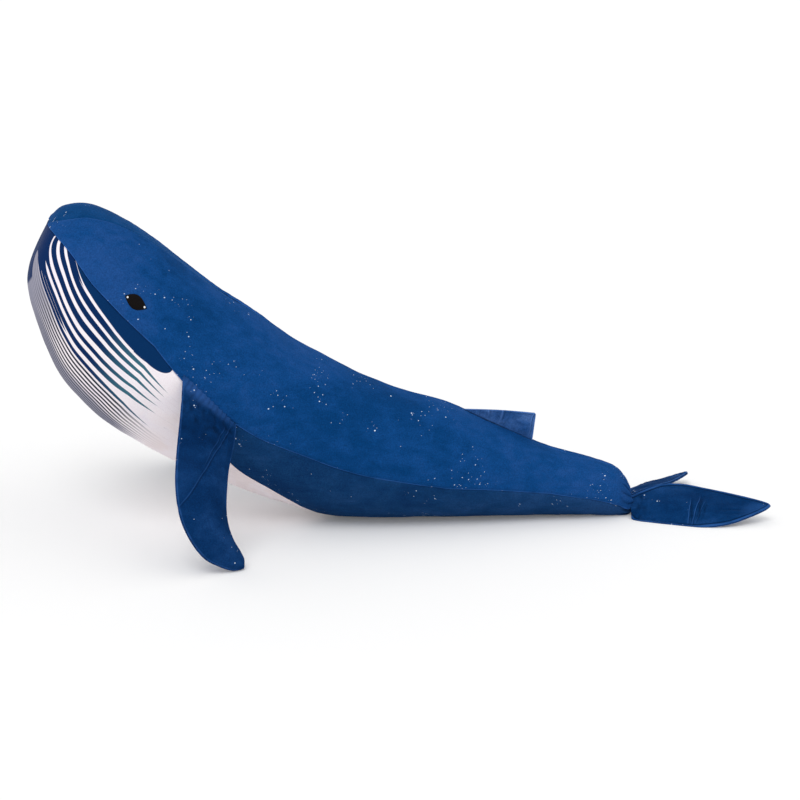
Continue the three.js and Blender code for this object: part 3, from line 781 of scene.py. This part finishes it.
def settled(spot, half, edge, limb):
    """The leaf's cloth, cut a little large and pushed out by the filling, settles into its own wrinkles."""
    rows, columns = half.shape
    mesh, row, column = grid_mesh("settling", rows, columns)
    before = np.concatenate([spot, half[..., None]], -1)
    mesh.vertices.foreach_set("co", before[row, column].ravel())
    leaf = put_in_scene("settling", mesh)
    sewn = leaf.vertex_groups.new(name="sewn")
    held = (row <= 1) | (row == rows - 1) | (column <= 1) | (column >= columns - 2)
    sewn.add([int(index) for index in np.flatnonzero(held)], 1, "REPLACE")
    cloth = leaf.modifiers.new("settle", "CLOTH")
    for setting, value in (
        ("quality", 8), ("mass", 0.25), ("tension_stiffness", 12), ("compression_stiffness", 12),
        ("shear_stiffness", 4), ("bending_stiffness", limb["stiff"]), ("use_pressure", True),
        ("uniform_pressure_force", limb["pressure"]), ("shrink_min", -limb["fullness"]), ("vertex_group_mass", "sewn"),
    ):
        setattr(cloth.settings, setting, value)
    cloth.settings.effector_weights.gravity = 0
    cloth.collision_settings.use_collision = False
    cloth.point_cache.frame_start = 1
    cloth.point_cache.frame_end = settle_frames
    for step in range(1, settle_frames + 1):
        bpy.context.scene.frame_set(step)
    done = leaf.evaluated_get(bpy.context.evaluated_depsgraph_get()).data
    moved = np.zeros(len(done.vertices) * 3)
    done.vertices.foreach_get("co", moved)
    after = before.copy()
    after[row, column] = moved.reshape(-1, 3)
    bpy.data.objects.remove(leaf)
    bpy.context.scene.frame_set(1)
    step = after - before
    length = np.linalg.norm(step, axis=-1, keepdims=True)
    free = share_past(edge, settle_rim, settle_reach) * share_past(np.arange(rows) / rows, 0, 0.12)[:, None]
    free = free * free * (3 - 2 * free)
    after = before + step * np.minimum(1, settle_cap / np.maximum(length, 1e-9)) * free[..., None]
    return after[..., :2], after[..., 2]


def leaf_place(leaf, place_at, turn):
    """Points of one leaf of a limb, put where the limb stands."""
    spot, half, edge, hollow = leaf

    def place(rows, columns):
        points = place_at(spot[..., 0], spot[..., 1], turn * half)
        points[..., 2] = np.maximum(points[..., 2], floor_gap + (leaf_thickness if turn > 0 else 0))
        return points, spot, edge, hollow

    return place


def cut_leaf(limb, seed):
    spot, filled, folds, edge, hollow = leaf_shape(limb, seed)
    spot, filled = settled(spot, filled, edge, limb)
    half = np.maximum(filled + folds, root_half)
    half[0] = root_half
    return spot, half, edge, hollow


def limb_leaf(name, limb, leaf, place_at, turn, outward, material, bend, node):
    """One leaf of a limb. Its bend is not used."""
    piece = cloth_piece(name, limb["rows"], limb["columns"], leaf_place(leaf, place_at, turn), material)
    piece.modifiers["cloth"].thickness = leaf_thickness
    middle = piece.data.polygons[len(piece.data.polygons) // 2]
    if middle.normal.dot(outward) < 0:
        piece.data.flip_normals()
    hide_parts(node)
    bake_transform(piece)
    return piece


def as_vector(point):
    return Vector([float(value) for value in point])


# Flippers: long curved blades that prop up the head. The root is gathered into the jaw and belly seam, and the blade
# leans out and forward until its tip rests on the floor. The pile is brushed pale at the root, and two creases have a
# painted highlight along them with painted shade beside them.
flipper_velvet = velvet(
    "flipper_velvet", (0.0008, 0.020, 0.084), (0.0017, 0.027, 0.107), (0.0062, 0.042, 0.150), 0.07, 0.5, 0.06, 0.6,
    worn=((0.022, 0.006, 0.030, 0.017, 0.85), (0.050, 0.003, 0.040, 0.012, 0.7), (0.055, 0.120, 0.030, 0.060, 0.06)),
    creased=((0.0805, 0, 0.004, 0.152, 0.0008, 0.42), (0.0735, -0.05, 0.010, 0.088, 0.0007, 0.36)))
flipper_root_length = 0.086
flipper_seat = 0.0017
flipper_tip_rise = 0.0006
flipper = {
    "leading": [[0, 0], [0.12, 0.25], [0.245, 0.53], [0.35, 0.73], [0.475, 0.885], [0.61, 0.97], [0.75, 1.0],
                [0.865, 0.963], [0.95, 0.914], [1, 0.85]],
    "trailing": [[0.465, 0], [0.52, 0.135], [0.575, 0.31], [0.63, 0.44], [0.70, 0.577], [0.77, 0.67], [0.85, 0.73],
                 [0.925, 0.76], [0.973, 0.79], [1, 0.85]],
    "size": np.array([0.185, 0.163]), "puff": 0.010, "root": 0.1, "growth": 0.35, "rows": 150, "columns": 76,
    "crease": 0.0006, "grain": (1, 0.4), "along_root": np.array([1, 0]), "gather": 0.0068, "gather_height": 0.0012,
    "puckers": 2.6, "rim_fold": 0.0004,
    "folds": (((0.0815, 0.004), (0.081, 0.146), 0.0012, 0.0022), ((0.0745, 0.012), (0.078, 0.082), 0.0010, 0.0020),
              ((0.012, 0.030), (0.047, 0.004), 0.0010, 0.0026), ((0.095, 0.060), (0.150, 0.128), 0.0007, 0.0040)),
    "stiff": 0.35, "pressure": 1.5, "fullness": 0.02,
}
flipper_leaves = {"outer": cut_leaf(flipper, 89), "inner": cut_leaf(flipper, 71)}


def unit(vector):
    return vector / np.linalg.norm(vector)


def at(station, degrees):
    return skin_point(np.array(float(station)), np.array(float(degrees)), np.array(0.0))


root_front, root_rear = at(6.9, 82), at(8.45, 94)
root_direction = unit(root_rear - root_front)
outward = unit(np.array([root_direction[1], -root_direction[0], 0]))
root_start = (root_front + root_rear) / 2 - root_direction * flipper_root_length / 2 + outward * flipper_seat
downward = np.cross(root_direction, outward)
downward = -downward if downward[2] > 0 else downward
tip_along, tip_out = flipper["leading"][-1]
tip_drop = root_start[2] + root_direction[2] * tip_along * flipper["size"][0] - flipper_tip_rise
lean = tip_drop / (-downward[2] * tip_out * flipper["size"][1])
blade_direction = downward * lean + outward * math.sqrt(1 - lean**2)
blade_normal = unit(np.cross(blade_direction, root_direction))
flipper_bend = 0.032


def flipper_at(turn):
    def place(p, q, lift):
        point = root_start + root_direction * p[..., None] + blade_direction * q[..., None]
        point = point + blade_normal * lift[..., None]
        return point * np.array([1, turn, 1])

    return place


for side, turn in (("left", 1), ("right", -1)):
    flip = np.array([1, turn, 1])
    hinge = (root_start + root_direction * flipper_root_length / 2) * flip
    bend = (as_vector(hinge), as_vector(hinge + blade_direction * flip * flipper_bend))
    for leaf_side, face in (("outer", 1), ("inner", -1)):
        limb_leaf(f"{side}_flipper_{leaf_side}_skin", flipper, flipper_leaves[leaf_side], flipper_at(turn), face,
                  as_vector(blade_normal * flip * face), flipper_velvet,
                  bend, f"{side}_flipper_{leaf_side}_panel")

    def flattened(spot, turn=turn):
        own = np.array(spot) * (1, turn, 1)
        lift = (own - root_start) @ blade_normal
        return as_vector((own - filling_flattened * lift * blade_normal) * (1, turn, 1))

    fluffy_copy(f"{side}_flipper_filling", f"{side}_flipper_fibrefill", f"{side}_flipper", bend, flattened)

# Back fin: two thin leaves with a straight top edge and an upright rear edge, topstitched and sewn into the back seam.
# The cloth hangs in two soft folds from the top edge to the base. Its folds have painted highlights and painted
# shade, and painted shade lies along the base.
fin_velvet = velvet(
    "fin_velvet", (0.014, 0.066, 0.220), (0.027, 0.092, 0.278), (0.062, 0.145, 0.370), 0.025, 0, 0.08, 0.5,
    creased=((0.053, 0.25, 0.002, 0.052, 0.0014, 0.35), (0.037, 0.25, 0.002, 0.044, 0.0012, 0.3),
             (0.0935, 0.16, 0.001, 0.062, 0.0006, 0.45)),
    # Painted shade along the fin's base.
    shaded_root=0.0030)
fin = {
    "leading": [[0, 0], [0.21, 0.24], [0.435, 0.5], [0.65, 0.74], [0.83, 0.95], [0.865, 1]],
    "trailing": [[1, 0], [0.975, 0.25], [0.945, 0.5], [0.915, 0.76], [0.89, 0.96], [0.876, 1]],
    "size": np.array([0.101, 0.037]), "puff": 0.0018, "root": 0.15, "growth": 0.3, "rows": 60, "columns": 100,
    "crease": 0.0005, "grain": (1, 0.4), "along_root": np.array([1, 0]), "gather": 0.011, "gather_height": 0.0003,
    "puckers": 1.6, "rim_fold": 0.0003,
    "folds": (((0.054, 0.003), (0.049, 0.019), 0.0011, 0.0026), ((0.038, 0.002), (0.035, 0.013), 0.0009, 0.0024),
              ((0.0895, 0.002), (0.0855, 0.033), 0.0005, 0.0009)),
    "stiff": 0.5, "pressure": 0.3, "fullness": 0.015,
}
fin_leaves = {"left": cut_leaf(fin, 137), "right": cut_leaf(fin, 123)}
fin_seat = 0.0005
fin_fall = 0.13
fin_front, fin_rear = at(13.2, 0), at(14.75, 0)
fin_along = unit(fin_rear - fin_front)
fin_up = np.array([-fin_along[2], 0, fin_along[0]])
fin_start = fin_front + fin_up * fin_seat


def fin_at(p, q, lift):
    q = q * (1 - fin_fall * share_past(p, 0, fin["size"][0]) ** 2)
    point = fin_start + fin_along * p[..., None] + fin_up * q[..., None]
    return point + np.array([0, -1, 0]) * lift[..., None]


fin_middle = fin_start + fin_along * fin["size"][0] / 2
for side, face in (("left", 1), ("right", -1)):
    limb_leaf(f"fin_{side}_skin", fin, fin_leaves[side], fin_at, face, Vector((0, -face, 0)), fin_velvet,
              (as_vector(fin_middle), as_vector(fin_middle + fin_up * 0.009)),
              f"fin_{side}_panel")

# Flukes: two lobes, each of two leaves, sewn to the gathered tail end. They lie turned to one side and twist so that
# the leading edge rests low, most of all at the root, where the gathered cloth stands nearly on edge.
fluke_velvet = velvet(
    "fluke_velvet", (0.0007, 0.024, 0.098), (0.0020, 0.033, 0.126), (0.0090, 0.052, 0.178), 0.05, 0.45, 0.06, 0.6,
    # Painted seam sheen reaches further, and painted shade lies in the channel beside the rim.
    worn=((0.150, 0.088, 0.040, 0.022, 0.30),), seam_sheen_reach=0.0036, painted_channel_shade=0.0042,
    creased=((0.068, 0.65, 0.036, 0.088, 0.0009, 0.5), (0.084, 0.88, 0.034, 0.092, 0.0009, 0.5),
             (0.086, 1.18, 0.046, 0.084, 0.0008, 0.4)))
fluke_yaw, fluke_spread, fluke_twist = math.radians(17), math.radians(32), math.radians(24.5)
fluke_droop, fluke_root_twist, fluke_twist_fade = math.radians(1.4), math.radians(12), 0.05
fluke_gather_back, fluke_gather_fade = 0.012, 0.022
far_fluke_droop, far_fluke_reach = math.radians(2.2), 0.94
fluke_rise, fluke_seat, seam_gap = 0.020, 0.0008, 0.0003
fluke = {
    "leading": [[0, 0.28], [0.035, 0.39], [0.08, 0.48], [0.15, 0.60], [0.26, 0.74], [0.39, 0.86], [0.58, 0.955],
                [0.77, 0.965], [0.93, 0.945], [1, 0.915]],
    "trailing": [[0, 0], [0.11, 0], [0.22, 0], [0.33, 0.01], [0.48, 0.105], [0.62, 0.285], [0.75, 0.465],
                 [0.88, 0.66], [0.965, 0.80], [1, 0.87]],
    "size": np.array([0.156, 0.095]), "puff": 0.0042, "root": 0.3, "growth": 0.35, "rows": 150, "columns": 76,
    "crease": 0.0006, "grain": (0.45, 1), "along_root": np.array([0, 1]), "gather": 0.0070, "gather_height": 0.0010,
    "puckers": 1.6, "rim_fold": 0.0009,
    "folds": (((0.0495, 0.073), (0.0675, 0.042), 0.0021, 0.0021), ((0.057, 0.073), (0.084, 0.040), 0.0022, 0.0021),
              ((0.065, 0.070), (0.086, 0.050), 0.0018, 0.0018), ((0.083, 0.0655), (0.128, 0.081), 0.0011, 0.0016),
              ((0.085, 0.0735), (0.124, 0.086), 0.0011, 0.0016)),
    "stiff": 0.35, "pressure": 1.0, "fullness": 0.02,
}
fluke_leaves = {"upper": cut_leaf(fluke, 179), "lower": cut_leaf(fluke, 161)}
tail_end = at(last_station, 0)
fluke_axis = np.array([math.cos(fluke_yaw), math.sin(fluke_yaw), 0])
fluke_root = np.array([tail_end[0], 0, fluke_rise]) + fluke_axis * fluke_seat
inner_shift = seam_gap / 2 + rim_half * math.sin(fluke_twist)


def lobe_lines(turn):
    """The line along a lobe, and the level line across it."""
    lateral = np.array([fluke_axis[1], -fluke_axis[0], 0]) * turn
    lobe_axis = fluke_axis * math.cos(fluke_spread) + lateral * math.sin(fluke_spread)
    return lobe_axis, np.array([lobe_axis[1], -lobe_axis[0], 0]) * turn


def fluke_at(turn):
    lobe_axis, sideways = lobe_lines(turn)

    def place(p, q, lift):
        """The lobe turns about its own axis, most at the root, where its leading edge is gathered back to the tail."""
        p = p * (1 if turn > 0 else far_fluke_reach)
        p = p - fluke_gather_back * share_past(q, 0, 0.03) ** 1.5 * bell(p, fluke_gather_fade)
        on_axis = p * math.cos(fluke_spread) + (q + inner_shift) * math.sin(fluke_spread)
        off_axis = q * math.cos(fluke_spread) - p * math.sin(fluke_spread)
        twist = fluke_twist + fluke_root_twist * bell(p, fluke_twist_fade)
        wide = off_axis / math.cos(fluke_twist)
        point = fluke_root + lobe_axis * on_axis[..., None]
        point = point + sideways * (wide * np.cos(twist) + inner_shift * math.cos(fluke_spread))[..., None]
        droop = fluke_droop + (0 if turn > 0 else far_fluke_droop)
        point[..., 2] -= wide * np.sin(twist) + p * math.tan(droop)
        out = sideways * np.sin(twist)[..., None]
        out[..., 2] += np.cos(twist)
        return point + out * lift[..., None]

    return place


fluke_bend = (as_vector(fluke_root), as_vector(fluke_root + fluke_axis * 0.022))
for side, turn in (("left", 1), ("right", -1)):
    for leaf_side, face in (("upper", 1), ("lower", -1)):
        limb_leaf(f"{side}_fluke_{leaf_side}_skin", fluke, fluke_leaves[leaf_side], fluke_at(turn), face,
                  Vector((0, 0, face)), fluke_velvet,
                  fluke_bend, f"{side}_fluke_{leaf_side}_panel")

    def refitted(spot, turn=turn):
        """A point of the filling, read in the lobe's own lines and put back with the lobe's twist."""
        own = np.array(spot) - fluke_root
        on, off = (own @ line for line in lobe_lines(turn))
        p = on * math.cos(fluke_spread) - off * math.sin(fluke_spread)
        off -= inner_shift * math.cos(fluke_spread)
        lift = (own[2] + off * math.tan(fluke_twist) + p * math.tan(fluke_droop)) * math.cos(fluke_twist)
        off -= lift * math.sin(fluke_twist)
        p = (on - inner_shift * math.sin(fluke_spread)) * math.cos(fluke_spread) - off * math.sin(fluke_spread)
        q = (off + p * math.sin(fluke_spread)) / math.cos(fluke_spread)
        kept = fluke_filling_kept * lift
        point = fluke_at(turn)(np.array(p), np.array(q), np.array(kept))
        point[2] = max(point[2], floor_gap + leaf_thickness / 2)
        return as_vector(point)

    fluffy_copy(f"{side}_fluke_filling", f"{side}_fluke_fibrefill", f"{side}_fluke", fluke_bend, refitted)

# Eyes: almond patches in dark satin stitch with a raised rim, and a pale dot of stitches at each corner.
corner_dots, dot_rim, dot_colour = (0.12, 0.90), (0.046, 0.034), (0.85, 0.86, 0.88)
eye_thread, thread_nodes, eye_shader = new_material("eye_thread", {"Roughness": 0.55, "Specular IOR Level": 0.08})
eye_spot = add_node(thread_nodes, "TexCoord").outputs["UV"]
satin = add_node(thread_nodes, "TexWave", {"Scale": 9, "Distortion": 0.6, "Vector": eye_spot})
stitches = Measure(thread_nodes, satin.outputs["Fac"])
eye_colour = dyed(stitches, (0, (0.0012, 0.0006, 0.0005)), (1, (0.0042, 0.0018, 0.0014)))
for corner in corner_dots:
    away = add_node(thread_nodes, "VectorMath", {0: eye_spot, 1: (corner, 0.5, 0)}, operation="DISTANCE")
    dot = Measure(thread_nodes, away.outputs["Value"]).eased(*dot_rim, 0, 1, "LINEAR")
    eye_colour = laid_over(dot, eye_colour, dot_colour)
cover(thread_nodes, eye_shader, eye_colour, stitches, 0.4, 0.0003)

eye_station, eye_angle = 5.17, 64
eye_length, eye_width, eye_thickness = 0.029, 0.0165, 0.0014
eye_turn = 1.2
eye_pitch = np.linalg.norm(at(eye_station + 0.5, eye_angle) - at(eye_station - 0.5, eye_angle))
eye_radius = np.linalg.norm(at(eye_station, eye_angle) - section_centre(np.array(float(eye_station))))
eye_degrees = math.degrees(eye_width / 2 / eye_radius)


def eye_place(turn):
    def place(rows, columns):
        row = np.repeat(np.linspace(-1, 1, rows)[:, None], columns, 1)
        column = np.repeat(np.linspace(-1, 1, columns)[None, :], rows, 0)
        station = eye_station + row * eye_length / 2 / eye_pitch
        degrees = eye_angle - eye_turn * row + column * eye_degrees * np.cos(math.pi / 2 * row * 0.97)
        crown = (1 - row**4) * (1 - column**4)
        raised = lump_height + eye_thickness * (0.35 + 0.65 * crown)
        points = skin_point(station, turn * degrees, -raised)
        narrow = eye_width / eye_length * np.cos(math.pi / 2 * row * 0.97)
        return points, np.stack([(row + 1) / 2, (column * narrow + 1) / 2], -1), 0 * row, 0 * row

    return place


for side, turn in (("left", 1), ("right", -1)):
    eye = cloth_piece(f"{side}_eye_patch", 60, 30, eye_place(turn), eye_thread)
    eye.modifiers["cloth"].thickness = eye_thickness + lump_height
    outward_eye = as_vector(at(eye_station, turn * eye_angle) - section_centre(np.array(float(eye_station))))
    if eye.data.polygons[len(eye.data.polygons) // 2].normal.dot(outward_eye) < 0:
        eye.data.flip_normals()
    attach(eye, "whale_body")
    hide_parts(f"{side}_eye")
